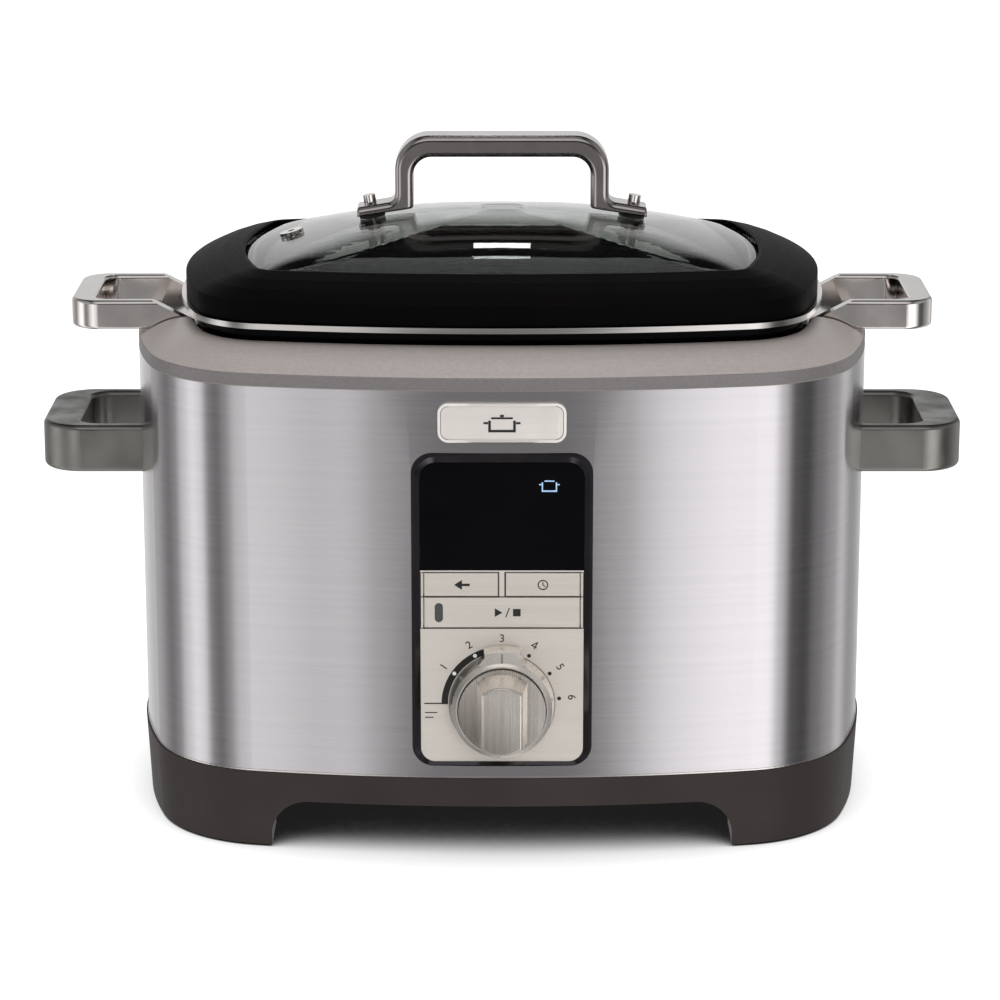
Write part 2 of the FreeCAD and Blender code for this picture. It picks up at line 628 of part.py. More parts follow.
mode_ring = body("mode_ring")
washer = sketch(mode_ring, "XZ", "board_front + 5")
circle(washer, "0", "dial_z", "15")
circle(washer, "0", "dial_z", "sleeve_r + 0.05")
pad(mode_ring, washer, "ring_back - board_front - 5 + 0.5")
ring_side = sketch(mode_ring, "YZ")
polygon(ring_side, [
    ("-ring_back", "dial_z + sleeve_r + 0.05"), ("-ring_back - 2", "dial_z + sleeve_r + 0.05"),
    ("-ring_back - 2", "dial_z + knob_r + 0.5"), ("-ring_face", "dial_z + knob_r + 0.5"),
    ("-ring_face", "dial_z + knob_r + 1.2"), ("-ring_face + 1.4", "dial_z + ring_r - 1.2"), ("-ring_back", "dial_z + ring_r"),
])
pole = ring_side.addGeometry(Part.LineSegment(Vector(-160, number("dial_z"), 0), Vector(-100, number("dial_z"), 0)), True)
locate(ring_side, pole, 1, "-160", "dial_z")
locate(ring_side, pole, 2, "-100", "dial_z")
turned = mode_ring.newObject("PartDesign::Revolution", "mode_ring_Revolution")
turned.Profile = ring_side
turned.ReferenceAxis = (ring_side, ["Axis0"])
turned.Angle = 360
doc.recompute()
tab = sketch(mode_ring, "XZ", "ring_back")
polygon(tab, [
    ("-11.5", "dial_z + 21.8"), ("11.5", "dial_z + 21.8"), ("8.5", "dial_z + 25.5"),
    ("8.5", "dial_z + 28.14", "ring_tip"), ("-8.5", "dial_z + 28.14"), ("-8.5", "dial_z + 25.5"),
])
pad(mode_ring, tab, "ring_face - ring_back - 1")
soften(mode_ring, "0.8", lambda c, way: c.z > number("dial_z + 26") and c.y < -number("ring_face - 1") + 0.05)

selector_knob = body("selector_knob")
drum = sketch(selector_knob, "XZ", "knob_back")
circle(drum, "0", "dial_z", "knob_r")
pad(selector_knob, drum, "disc_face - knob_back")
grip = sketch(selector_knob, "XZ", "disc_face - 0.5")
polygon(grip, [
    ("grip_root", "dial_z - 14.7"), ("grip_root", "dial_z + 14.7", "grip_end"), ("-grip_root", "dial_z + 14.7"),
    ("-grip_root", "dial_z - 14.7", "grip_end"),
])
pad(selector_knob, grip, "grip_face - disc_face + 0.5", "-grip_lean")
hollow = sketch(selector_knob, "XZ", "knob_back - 1")
circle(hollow, "0", "dial_z", "knob_r - 2")
circle(hollow, "0", "dial_z", "shaft_r + 3")
pocket(selector_knob, hollow, "8")
drill(selector_knob, "XZ", "knob_back - 1", "20", [("0", "dial_z")], "shaft_r")
soften(selector_knob, "1.2", lambda c, way: c.y < -number("grip_face") + 0.05)
encoder_shaft = join("encoder_shaft", [rod("0", "-knob_back - 18", "dial_z", "shaft_r", "knob_back + 18 - board_front - 2.5", "back")])

# ---- side handles of the housing ----


def loop(owner, sign, low, high, inner_x, tip_x, half_y, bar, arm, bend, soft):
    """A U-shaped loop that leaves the housing along x, its open end at inner_x."""
    other = "-" if sign == "" else ""
    outside = sketch(owner, "XY", low)
    polygon(outside, [
        (f"{sign}({inner_x})", f"-{half_y}"), (f"{sign}({tip_x} - {bend})", f"-{half_y}", f"{sign}{bend}"),
        (f"{sign}{tip_x}", f"-({half_y} - {bend})"), (f"{sign}{tip_x}", f"{half_y} - {bend}", f"{sign}{bend}"),
        (f"{sign}({tip_x} - {bend})", half_y), (f"{sign}({inner_x})", half_y), (f"{sign}({inner_x})", f"{half_y} - {arm}"),
        (f"{sign}({tip_x} - {bar} - {bend} / 2)", f"{half_y} - {arm}", f"{other}{bend} / 2"),
        (f"{sign}({tip_x} - {bar})", f"{half_y} - {arm} - {bend} / 2"),
        (f"{sign}({tip_x} - {bar})", f"-({half_y} - {arm} - {bend} / 2)", f"{other}{bend} / 2"),
        (f"{sign}({tip_x} - {bar} - {bend} / 2)", f"-({half_y} - {arm})"), (f"{sign}({inner_x})", f"-({half_y} - {arm})"),
    ])
    pad(owner, outside, f"({high}) - ({low})")
    edge_low, edge_high, start = number(low), number(high), number(inner_x)
    soften(owner, soft, lambda c, way: min(abs(c.z - edge_low), abs(c.z - edge_high)) < 0.05 and abs(c.x) > start + 0.5)


def body_handle(name, sign):
    handle = body(name)
    loop(handle, sign, "grip_low", "grip_high", "half_width - 18", "grip_x", "grip_y", "grip_bar", "grip_arm", "20", "2.4")
    plan_pocket(handle, "grip_low - 1", "grip_high + 1", "0")
    start = "half_width - 10" if sign == "" else "-half_width - 14"
    drill(handle, "YZ", start, "24", [("37.7", "178.5"), ("-37.7", "178.5")], "2.4")


body_handle("left_body_handle", "-")
body_handle("right_body_handle", "")

bracket_hoop = body("bracket_hoop")
plan_pad(bracket_hoop, "168", "189", "shell_wall")
plan_pocket(bracket_hoop, "167", "190", "shell_wall + 2")
drill(bracket_hoop, "YZ", "-half_width", "2 * half_width", [("37.7", "178.5"), ("-37.7", "178.5")], "2.4")
bracket_zone = join("bracket_zone", [block(x, "-46", "160", "40", "92", "40") for x in ("half_width - 40", "-half_width")])
handle_brackets = doc.addObject("Part::Common", "handle_brackets")
handle_brackets.Base = bracket_hoop
handle_brackets.Tool = bracket_zone
handle_brackets.Label = "handle_brackets"
handle_screws = join("handle_screws", [
    screws("screws_right", [("half_width - 6.6", y, "178.5") for y in ("37.7", "-37.7")], "right", "4", "2.4", "2.4", "17"),
    screws("screws_left", [("6.6 - half_width", y, "178.5") for y in ("37.7", "-37.7")], "left", "4", "2.4", "2.4", "17"),
])

# ---- pot ----

pot_vessel = body("pot_vessel")
hoop(pot_vessel, [
    ("half_depth - pot_in - 15", "pot_low", "15"), ("half_depth - pot_in", "pot_low + 15"), ("half_depth - pot_in", "240"),
    ("half_depth - 27.3", "246.5"), ("half_depth - 27.3", "rim_low - 1"), ("half_depth - 21.6", "rim_low"),
    ("half_depth - 21.6", "rim_high"), ("half_depth - 28.9", "rim_high"), ("half_depth - 28.9", "247.2"),
    ("half_depth - pot_in - pot_wall", "240.7"), ("half_depth - pot_in - pot_wall", "pot_low + 15", "-(15 - pot_wall)"),
    ("half_depth - pot_in - 15", "pot_low + pot_wall"),
])
plan_pad(pot_vessel, "pot_low", "pot_low + 3.2", "pot_in + 14.6")
RIVETS = [("18", "236"), ("-18", "236")]
drill(pot_vessel, "YZ", "-half_width", "2 * half_width", RIVETS, "2")


def pot_handle(name, sign):
    ear = body(name)
    loop(ear, sign, "ear_low", "ear_high", "half_width - pot_in - 6", "ear_x", "ear_y", "ear_bar", "ear_arm", "14", "1.8")
    slope = sketch(ear, "XZ", "-60")
    polygon(slope, [(f"{sign}171", "ear_high"), (f"{sign}171", "ear_high + 4"), (f"{sign}136", "ear_high + 4"),
                    (f"{sign}136", "ear_high - 18.2")])
    pocket(ear, slope, "120")
    root = sketch(ear, "XY", "231.5")
    polygon(root, [(f"{sign}138", "-34"), (f"{sign}149.5", "-34"), (f"{sign}149.5", "34"), (f"{sign}138", "34")])
    pad(ear, root, "9.5")
    web = sketch(ear, "XY", "ear_low + 1.4")
    polygon(web, [(f"{sign}140", "-30"), (f"{sign}171", "-30"), (f"{sign}171", "30"), (f"{sign}140", "30")])
    pad(ear, web, "2")
    plan_pocket(ear, "230", "240", "pot_in")
    plan_pocket(ear, "240", "ear_high + 1", "27.3")
    start = "half_width - pot_in - 14" if sign == "" else "-half_width + pot_in - 6"
    drill(ear, "YZ", start, "20", RIVETS, "2")


pot_handle("left_pot_handle", "-")
pot_handle("right_pot_handle", "")
pot_rivets = join("pot_rivets", [
    screws("rivets_right", [("half_width - pot_in - 2.75", y, z) for y, z in RIVETS], "right", "3.8", "1.8", "2", "5.35"),
    screws("rivets_left", [("pot_in + 2.75 - half_width", y, z) for y, z in RIVETS], "left", "3.8", "1.8", "2", "5.35"),
])

# ---- lid ----

lid_rim = body("lid_rim")
hoop(lid_rim, [
    ("half_depth - 23.9", "lid_low"), ("half_depth - 23.9", "lid_side"), ("half_depth - 32.7", "lid_side + 4"),
    ("half_depth - 41.9", "lid_side + 7.2"), ("half_depth - 51.3", "crest"),
    ("half_depth - 53.2", "crest - 0.2"), ("half_depth - 53.2", "glass_edge + glass_thick + 2.1"),
    ("half_depth - glass_in + 0.1", "glass_edge + glass_thick + 0.05"), ("half_depth - glass_in + 0.1", "glass_edge - 0.05"),
    ("half_depth - 53.5", "glass_edge - 0.05"), ("half_depth - 53.5", "glass_edge - 2.6"), ("half_depth - 38", "259.5"),
    ("half_depth - 38", "249.5"), ("half_depth - 35.6", "249.5"), ("half_depth - 35.6", "lid_low"),
])

glass_blank = body("glass_blank")
plan_pad(glass_blank, "glass_edge", "glass_edge + glass_thick", "glass_in")


def dome(owner, kind, steps):
    """A loft through scaled copies of the glass outline, each at its own height."""
    sections = []
    for scale, height, corner in steps:
        level = sketch(owner, "XY", height)
        outline(level, "glass_in", scale, corner)
        sections.append(level)
    made = owner.newObject("PartDesign::" + kind, owner.Name + "_" + kind)
    made.Profile = sections[0]
    made.Sections = sections[1:]
    doc.recompute()
    return made


# The outline grows rounder towards the middle, so that the dome has no ridges above its corners.
LEVELS = [("0.85", "76"), ("0.65", "94"), ("0.45", "107"), ("0.25", "115"), ("0.08", "119")]
dome(glass_blank, "AdditiveLoft", [("1", "glass_edge + glass_thick", "corner")] + [
    (k, f"glass_edge + glass_thick + dome * (1 - {k} * {k})", corner) for k, corner in LEVELS])
dome(glass_blank, "SubtractiveLoft", [("0.955", "glass_edge - 0.1", "66")] + [
    (k, f"glass_edge + dome * (1 - {k} * {k})", corner) for k, corner in LEVELS])


def leaning(sign, x, z, lean, start, radius, height):
    """A cylinder square to the glass at x, z, from a distance above the glass."""
    made = doc.addObject("Part::Cylinder", "leaning")
    bind(made, "Radius", radius)
    bind(made, "Height", height)
    turn = FreeCAD.Rotation(Vector(0, 1, 0), number(f"{sign}({lean})"))
    return place(made, f"{sign}({x} + sin({lean}) * ({start}))", "0", f"{z} + cos({lean}) * ({start})", turn)


def bolts(name, start, radius, height):
    return join(name, [leaning(s, "bolt_x", "bolt_z", "bolt_lean", start, radius, height) for s in ("", "-")])


VENT = ("-", "104", "278.1", "15.5")
bolt_bores = bolts("bolt_bores", "-14", "1.9", "24")
vent_bore = join("vent_bore", [leaning(*VENT, "-8", "3.4", "16")])
glass_bores = join("glass_bores", [bolt_bores, vent_bore])
lid_glass = take("lid_glass", glass_blank, glass_bores)

vent_blank = join("vent_blank", [leaning(*VENT, "0.4", "6", "1.6"), leaning(*VENT, "-5", "3.35", "6"),
                                 leaning(*VENT, "-6.4", "5.4", "1.6")])
steam_vent = take("steam_vent", vent_blank, leaning(*VENT, "-9", "1.7", "20"))

handle_blank = body("handle_blank")
bail = sketch(handle_blank, "XZ", "-bail_y")
polygon(bail, [
    ("-71.4", "288.3"), ("bail_leg - bail_x", "292.7"), ("bail_leg - bail_x", "bail_under - 9", "-9"),
    ("bail_leg - bail_x + 9", "bail_under"), ("bail_x - bail_leg - 9", "bail_under", "-9"),
    ("bail_x - bail_leg", "bail_under - 9"), ("bail_x - bail_leg", "292.7"), ("71.4", "288.3"), ("71.4", "292.8"),
    ("bail_x + 4", "295.3", "-4.4"), ("bail_x", "300"), ("bail_x", "bail_top - 17", "17"), ("bail_x - 17", "bail_top"),
    ("17 - bail_x", "bail_top", "17"), ("-bail_x", "bail_top - 17"), ("-bail_x", "300", "-4.4"), ("-bail_x - 4", "295.3"),
    ("-71.4", "292.8"),
])
pad(handle_blank, bail, "2 * bail_y")
soften(handle_blank, "3", lambda c, way: abs(abs(c.y) - number("bail_y")) < 0.05 and c.z > 300)
soften(handle_blank, "1.2", lambda c, way: abs(abs(c.y) - number("bail_y")) < 0.05 and c.z < 296)
lid_handle = take("lid_handle", handle_blank, bolt_bores)
lid_washers = take("lid_washers", bolts("washer_blanks", "0.3", "6.4", "1.9"), bolt_bores)
lid_nuts = take("lid_nuts", bolts("nut_blanks", "-9.2", "4.4", "4.8"), bolt_bores)
lid_screws = join("lid_screws", [bolts("bolt_shanks", "-9", "1.9", "16"), bolts("bolt_heads", "7.1", "3.1", "4.2")])

# ---- check and export ----

NODES = """
base_tray foot_pads base_screws well_screws standoff_posts outer_shell collar heating_well well_insulation heater_plate
plate_screws heating_element heat_shield temperature_sensor thermal_fuse power_board relay transformer terminal_block
power_board_screws cord_gland panel_frame display_lens display_module control_plate control_board panel_screws
tact_switches encoder_body mode_switch badge left_body_handle right_body_handle handle_brackets handle_screws
back_button timer_button start_stop_button led_lens mode_ring selector_knob encoder_shaft
pot_vessel left_pot_handle right_pot_handle pot_rivets
lid_rim lid_glass lid_handle lid_washers lid_nuts lid_screws steam_vent
""".split()

for node in NODES:
    item = doc.getObjectsByLabel(node)[0]
    own = dict(item.ExpressionEngine).get(".Placement.Base.y", "0")
    item.setExpression("Placement.Base.y", f"{own} + Sizes.origin_y")
doc.recompute()
for item in doc.Objects:
    if "Invalid" in item.State or "Error" in item.State:
        raise RuntimeError(f"{item.Label} did not build: {item.State}")
os.makedirs("parts", exist_ok=True)
for node in NODES:
    item = doc.getObjectsByLabel(node)[0]
    shape = item.Shape
    if shape.isNull() or not shape.isValid() or not shape.Solids:
        raise RuntimeError(f"{node} has no valid solid")
    shape.exportStep(f"parts/{node}.step")
    print(node, len(shape.Solids), round(shape.Volume), [round(v, 2) for v in (
        shape.BoundBox.XMin, shape.BoundBox.YMin, shape.BoundBox.ZMin, shape.BoundBox.XMax, shape.BoundBox.YMax,
        shape.BoundBox.ZMax)])
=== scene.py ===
"""Looks of the slow cooker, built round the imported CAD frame.

The frame is in metres. Drawing sizes are in mm from the housing's middle, and are scaled by MM and moved by BACK.
"""
import math

import bmesh
import bpy
from mathutils import Matrix, Vector


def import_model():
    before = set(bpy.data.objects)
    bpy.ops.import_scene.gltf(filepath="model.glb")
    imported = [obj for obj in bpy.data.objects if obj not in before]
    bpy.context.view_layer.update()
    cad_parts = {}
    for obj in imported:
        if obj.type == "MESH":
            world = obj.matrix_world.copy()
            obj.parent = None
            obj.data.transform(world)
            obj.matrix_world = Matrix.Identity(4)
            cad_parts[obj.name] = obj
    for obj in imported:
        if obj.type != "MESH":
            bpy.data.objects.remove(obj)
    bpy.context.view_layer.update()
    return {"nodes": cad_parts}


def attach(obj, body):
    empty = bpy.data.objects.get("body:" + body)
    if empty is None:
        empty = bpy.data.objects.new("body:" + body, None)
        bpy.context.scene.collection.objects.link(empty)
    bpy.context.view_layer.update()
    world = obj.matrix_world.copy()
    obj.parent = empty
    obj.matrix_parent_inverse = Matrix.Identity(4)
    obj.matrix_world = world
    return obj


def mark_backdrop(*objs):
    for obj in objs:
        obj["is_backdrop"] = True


MM = 0.001
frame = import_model()
nodes = frame["nodes"]
scene = bpy.context.scene
BACK = 11.25 * MM  # the frame's origin lies this far in front of the housing's middle

# ---- material kit ----


class Shader:
    """A principled material, with the node lookups that its details need."""

    def __init__(self, name, colour, metallic, rough, **fixed):
        self.material = bpy.data.materials.new(name)
        self.material.use_nodes = True
        self.tree = self.material.node_tree
        self.shader = self.tree.nodes["Principled BSDF"]
        self.base = self.shader.inputs["Base Color"]
        self.set("Base Color", (*colour, 1))
        self.set("Metallic", metallic)
        self.set("Roughness", rough)
        for key, value in fixed.items():
            self.set(key.replace("_", " "), value)

    def set(self, socket, value):
        self.shader.inputs[socket].default_value = value

    def node(self, kind, operation=None, **inputs):
        made = self.tree.nodes.new("ShaderNode" + kind)
        if operation:
            made.operation = operation
        for key, value in inputs.items():
            self.join(value, made.inputs[int(key[1:]) if key[0] == "i" and key[1:].isdigit() else key])
        return made

    def join(self, value, socket):
        if isinstance(value, bpy.types.NodeSocket):
            self.tree.links.new(value, socket)
        elif isinstance(value, bpy.types.Node):
            self.tree.links.new(value.outputs[0], socket)
        else:
            socket.default_value = value

    def place(self, scale=(1, 1, 1), centre=(0, 0, 0)):
        """Object coordinates round a centre, stretched by a scale."""
        spot = self.node("TexCoord").outputs["Object"]
        return self.node("VectorMath", "MULTIPLY",
                         i0=self.node("VectorMath", "SUBTRACT", i0=spot, i1=centre).outputs[0], i1=scale)

    def turned(self, centre):
        """Distance from an axis along Y through the centre."""
        flat = self.place((1, 0, 1), centre)
        return self.node("VectorMath", "LENGTH", i0=flat).outputs["Value"]

    def noise(self, vector, scale, detail=2.0, rough=0.5):
        made = self.node("TexNoise", Scale=scale, Detail=detail, Roughness=rough)
        self.join(vector, made.inputs["Vector"])
        return made.outputs["Fac"]

    def lines(self, distance, scale, detail=3.0):
        made = self.tree.nodes.new("ShaderNodeTexNoise")
        made.noise_dimensions = "1D"
        self.join(distance, made.inputs["W"])
        made.inputs["Scale"].default_value = scale
        made.inputs["Detail"].default_value = detail
        return made.outputs["Fac"]

    def span(self, fac, low, high, start=0.3, end=0.7):
        made = self.node("MapRange")
        for socket, value in zip(("Value", "From Min", "From Max", "To Min", "To Max"), (fac, start, end, low, high)):
            self.join(value, made.inputs[socket])
        return made.outputs[0]

    def tint(self, fac, dark, light, start=0.3, end=0.7):
        made = self.tree.nodes.new("ShaderNodeValToRGB")
        first, last = made.color_ramp.elements
        first.position, last.position = start, end
        first.color, last.color = (*dark, 1), (*light, 1)
        self.join(fac, made.inputs["Fac"])
        return made.outputs["Color"]

    def colour(self, fac, dark, light, **where):
        self.join(self.tint(fac, dark, light, **where), self.base)

    def blend(self, factor, first, second, kind="MIX"):
        """A colour between two others."""
        made = self.node("Mix")
        made.data_type = "RGBA"
        made.blend_type = kind
        self.join(factor, made.inputs["Factor"])
        self.join(first, made.inputs[6])
        self.join(second, made.inputs[7])
        return made.outputs[2]

    def roughness(self, fac, low, high):
        self.join(self.span(fac, low, high), self.shader.inputs["Roughness"])

    def bump(self, height, depth, strength=1.0):
        made = self.node("Bump", Strength=strength, Distance=depth, Height=height)
        self.join(made.outputs["Normal"], self.shader.inputs["Normal"])

    def faced(self, axis, other, low, high):
        """Paints shade by facing: lets the base colour drift to another as the surface turns towards an axis."""
        facing = self.node("VectorMath", "DOT_PRODUCT", i0=self.node("TexCoord").outputs["Normal"], i1=axis)
        turned = self.span(facing.outputs["Value"], 0.0, 1.0, low, high)
        self.join(self.blend(turned, self.base.links[0].from_socket, (*other, 1)), self.base)

    def swept(self, dark, centre, axis, low, high):
        """Paints shade: lets the base colour fall off along an axis, by distance from a centre."""
        along = self.node("VectorMath", "DOT_PRODUCT", i0=self.place((1, 0, 1), centre), i1=axis)
        fall = self.span(along.outputs["Value"], 0.0, 1.0, low, high)
        source = self.base.links[0].from_socket
        # a darker copy of the colour, as painted shade
        dim = self.blend(1.0, source, (dark, dark * 0.985, dark * 0.97, 1), "MULTIPLY")
        self.join(self.blend(fall, source, dim), self.base)


def shade(colour, factor):
    """A lighter or darker colour of the same hue."""
    return tuple(min(1, c * factor) for c in colour)


def brushed(name, colour, rough, stretch, aniso=0.6, turn=0.25, contrast=0.08, metallic=1.0, shade_sweep=None):
    """Metal with fine straight brushing; the coordinates change fast across the lines and slowly along them."""
    made = Shader(name, colour, metallic, rough, Anisotropic=aniso, Anisotropic_Rotation=turn)
    fine = made.noise(made.place(stretch), 1, 4, 0.65)
    broad = made.noise(made.place(tuple(s * 0.12 for s in stretch)), 1, 2)
    both = made.node("Math", "ADD", i0=made.node("Math", "MULTIPLY", i0=fine, i1=0.65),
                     i1=made.node("Math", "MULTIPLY", i0=broad, i1=0.35))
    made.colour(both.outputs[0], shade(colour, 1 - contrast), shade(colour, 1 + contrast))
    made.roughness(fine, rough * 0.85, rough * 1.2)
    made.bump(fine, 0.000012, 0.6)
    tangent = made.tree.nodes.new("ShaderNodeTangent")
    tangent.direction_type = "RADIAL"
    tangent.axis = "Z"
    made.join(tangent.outputs[0], made.shader.inputs["Tangent"])
    # an optional sweep paints shade falling off along an axis
    if shade_sweep:
        made.swept(*shade_sweep)
    return made.material


def polished(name, colour, rough, contrast=0.06, top=None):
    """Polished metal with faint buffing clouds and hairlines, and painted shade: another tone where it faces up."""
    made = Shader(name, colour, 1.0, rough)
    cloud = made.noise(made.place((60, 60, 60)), 1, 3)
    hair = made.noise(made.place((400, 2600, 400)), 1, 3)
    made.colour(cloud, shade(colour, 1 - contrast), shade(colour, 1 + contrast))
    made.roughness(cloud, rough * 0.75, rough * 1.35)
    made.bump(hair, 0.000006, 0.35)
    # the top tone is painted shade on upward faces
    if top:
        made.faced((0, 0, 1), top, 0.35, 0.95)
    return made.material


def spun(name, colour, rough, centre, metallic=1.0, contrast=0.07):
    """Metal faced on a lathe, with fine rings round an axis along Y, and painted shade making it darker where it
    faces left and down.
    """
    made = Shader(name, colour, metallic, rough)
    rings = made.lines(made.turned(centre), 2600)
    cloud = made.noise(made.place((90, 90, 90)), 1, 2)
    made.colour(rings, shade(colour, 1 - contrast), shade(colour, 1 + contrast))
    made.roughness(cloud, rough * 0.85, rough * 1.2)
    made.bump(rings, 0.000004, 0.4)
    # painted shade where the surface faces left and down
    made.faced((-0.94, 0, -0.34), shade(colour, 0.3), 0.02, 0.45)
    return made.material


def moulded(name, colour, rough=0.45, grain=1600, depth=0.00004, contrast=0.12, **fixed):
    """Moulded plastic or rubber with a fine grain and faint clouding."""
    made = Shader(name, colour, 0.0, rough, **fixed)
    grains = made.noise(made.place(), grain, 2)
    cloud = made.noise(made.place(), 24, 3)
    made.colour(cloud, shade(colour, 1 - contrast), shade(colour, 1 + contrast))
    made.roughness(grains, rough * 0.88, min(1, rough * 1.15))
    made.bump(grains, depth, 0.55)
    return made.material


# ---- materials ----

FRONT_BOW = 646  # mm, the radius of the housing's front in plan
DIAL_X, DIAL_Z = 0, 75  # mm, the dial's axis
DIAL = Vector((DIAL_X * MM, 0, DIAL_Z * MM))
M = {
    "shell_steel": brushed("shell_steel", (0.60, 0.575, 0.595), 0.20, (7, 7, 2300), aniso=0.85, contrast=0.06),
    "bezel_steel": polished("bezel_steel", (0.06, 0.055, 0.06), 0.12),
    # The top tones below are painted shade on upward faces; grip_steel is a darker copy of polished steel, as painted
    # shade.
    "polished_steel": polished("polished_steel", (0.86, 0.81, 0.785), 0.13, 0.08, top=(0.44, 0.415, 0.41)),
    "grip_steel": polished("grip_steel", (0.44, 0.405, 0.395), 0.14, 0.1, top=(0.34, 0.315, 0.31)),
    "handle_satin": polished("handle_satin", (0.31, 0.30, 0.28), 0.34, 0.07, top=(0.095, 0.092, 0.086)),
    "badge_silver": brushed("badge_silver", (0.80, 0.755, 0.715), 0.42, (12, 12, 1500),
                            aniso=0.3, contrast=0.04, metallic=0.45),
    "plate_silver": brushed("plate_silver", (0.74, 0.685, 0.63), 0.40, (25, 25, 2100),
                            aniso=0.3, contrast=0.05, metallic=0.45),
    "key_silver": brushed("key_silver", (0.74, 0.69, 0.63), 0.38, (25, 25, 2100),
                          aniso=0.35, contrast=0.08, metallic=0.5),
    "ring_silver": spun("ring_silver", (0.86, 0.81, 0.75), 0.26, DIAL, metallic=0.8, contrast=0.04),
    # the knob's sweep paints shade that darkens it towards its lower left
    "knob_silver": brushed("knob_silver", (0.78, 0.725, 0.67), 0.28, (2200, 160, 22), aniso=0.4, turn=0.0,
                           contrast=0.12, metallic=0.9, shade_sweep=(0.36, DIAL, (-0.65, 0, -0.76), -0.006, 0.022)),
    "well_steel": polished("well_steel", (0.50, 0.49, 0.48), 0.34),
    "base_plastic": moulded("base_plastic", (0.034, 0.027, 0.025), 0.5, 1500, 0.00005, Specular_IOR_Level=0.2),
    "foot_rubber": moulded("foot_rubber", (0.022, 0.022, 0.022), 0.75, 900),
    "rim_black": moulded("rim_black", (0.0022, 0.0018, 0.002), 0.5, 1300, 0.00003, Specular_IOR_Level=0.03),
    "gland_black": moulded("gland_black", (0.02, 0.02, 0.021), 0.5),
    "washer_black": moulded("washer_black", (0.02, 0.02, 0.02), 0.6),
    "module_black": moulded("module_black", (0.015, 0.015, 0.017), 0.4),
    "relay_black": moulded("relay_black", (0.02, 0.022, 0.03), 0.35),
    "terminal_white": moulded("terminal_white", (0.62, 0.61, 0.57), 0.4),
    "blanket": moulded("blanket", (0.72, 0.70, 0.65), 0.95, 420, 0.0004, 0.2),
    "board_green": moulded("board_green", (0.015, 0.11, 0.05), 0.35, 300, 0.00002, 0.3),
    "zinc_screw": polished("zinc_screw", (0.62, 0.60, 0.56), 0.25),
    "vent_steel": polished("vent_steel", (0.66, 0.62, 0.60), 0.14),
    "cast_plate": moulded("cast_plate", (0.20, 0.20, 0.20), 0.55, 700, 0.0001, 0.15, Metallic=0.8),
    "element_sheath": polished("element_sheath", (0.33, 0.31, 0.29), 0.42),
    "sensor_metal": polished("sensor_metal", (0.6, 0.6, 0.6), 0.3),
    "core_steel": polished("core_steel", (0.38, 0.38, 0.40), 0.4),
    "lamp_lens": moulded("lamp_lens", (0.07, 0.07, 0.075), 0.25, 1100, 0.00002),
}


def display_glass():
    """Black glass with faint smears."""
    made = Shader("display_glass", (0.001, 0.001, 0.0014), 0.0, 0.06, Specular_IOR_Level=0.12)
    smear = made.noise(made.place((30, 30, 55)), 1, 4)
    made.colour(smear, (0.0012, 0.0012, 0.002), (0.002, 0.002, 0.003))
    made.roughness(smear, 0.05, 0.09)
    return made.material


def clear_glass():
    """Smoke-tinted glass of the lid."""
    made = Shader("clear_glass", (0.80, 0.835, 0.80), 0.0, 0.0, IOR=1.5, Transmission_Weight=1.0)
    wave = made.noise(made.place(), 9, 1)
    made.colour(wave, (0.47, 0.495, 0.475), (0.50, 0.525, 0.505))
    return made.material


POT_RIM_LOW = 0.2502  # m, the rim is bare above this
COLLAR_BAND_HIGH = 0.2344  # m, the collar's upright band ends here


def pot_steel():
    """Dark all over but for the polished rim: a nonstick coating inside, and painted shade on the outer wall below
    the rim.
    """
    made = Shader("pot_steel", (0.5, 0.5, 0.5), 1.0, 0.3, Specular_IOR_Level=0.05)
    height = made.node("SeparateXYZ", Vector=made.node("TexCoord").outputs["Object"]).outputs["Z"]
    # below the rim is dark: the nonstick coating inside, painted shade on the outer wall
    inside = made.node("Math", "LESS_THAN", i0=height, i1=POT_RIM_LOW)
    fleck = made.noise(made.place(), 1500, 3)
    hair = made.noise(made.place((9, 9, 1900)), 1, 3)
    steel = made.tint(hair, (0.52, 0.50, 0.49), (0.64, 0.62, 0.60))
    coat_and_shade = made.tint(fleck, (0.002, 0.002, 0.0022), (0.004, 0.004, 0.0044), 0.4, 0.8)
    made.join(made.blend(inside.outputs[0], steel, coat_and_shade), made.base)
    made.join(made.node("Math", "SUBTRACT", i0=1.0, i1=inside), made.shader.inputs["Metallic"])
    rough = made.node("Math", "ADD", i0=made.span(hair, 0.16, 0.24),
                      i1=made.node("Math", "MULTIPLY", i0=inside, i1=0.2))
    made.join(rough, made.shader.inputs["Roughness"])
    made.bump(hair, 0.000008, 0.4)
    return made.material


def collar_satin():
    """Satin grey, with painted shade making the upright band under the slope darker."""
    made = Shader("collar_satin", (0.44, 0.40, 0.38), 0.25, 0.42)
    grain = made.noise(made.place((500, 500, 900)), 1, 3)
    height = made.node("SeparateXYZ", Vector=made.place()).outputs["Z"]
    band = made.node("Math", "LESS_THAN", i0=height, i1=COLLAR_BAND_HIGH)
    slope = made.tint(grain, (0.365, 0.328, 0.31), (0.41, 0.37, 0.352))
    # the darker upright tone is painted shade
    upright = made.tint(grain, (0.175, 0.16, 0.162), (0.205, 0.19, 0.19))
    made.join(made.blend(band.outputs[0], slope, upright), made.base)
    made.roughness(grain, 0.38, 0.48)
    made.bump(grain, 0.00001, 0.5)
    return made.material


M["collar_satin"] = collar_satin()
M["display_glass"] = display_glass()
M["clear_glass"] = clear_glass()
M["pot_steel"] = pot_steel()
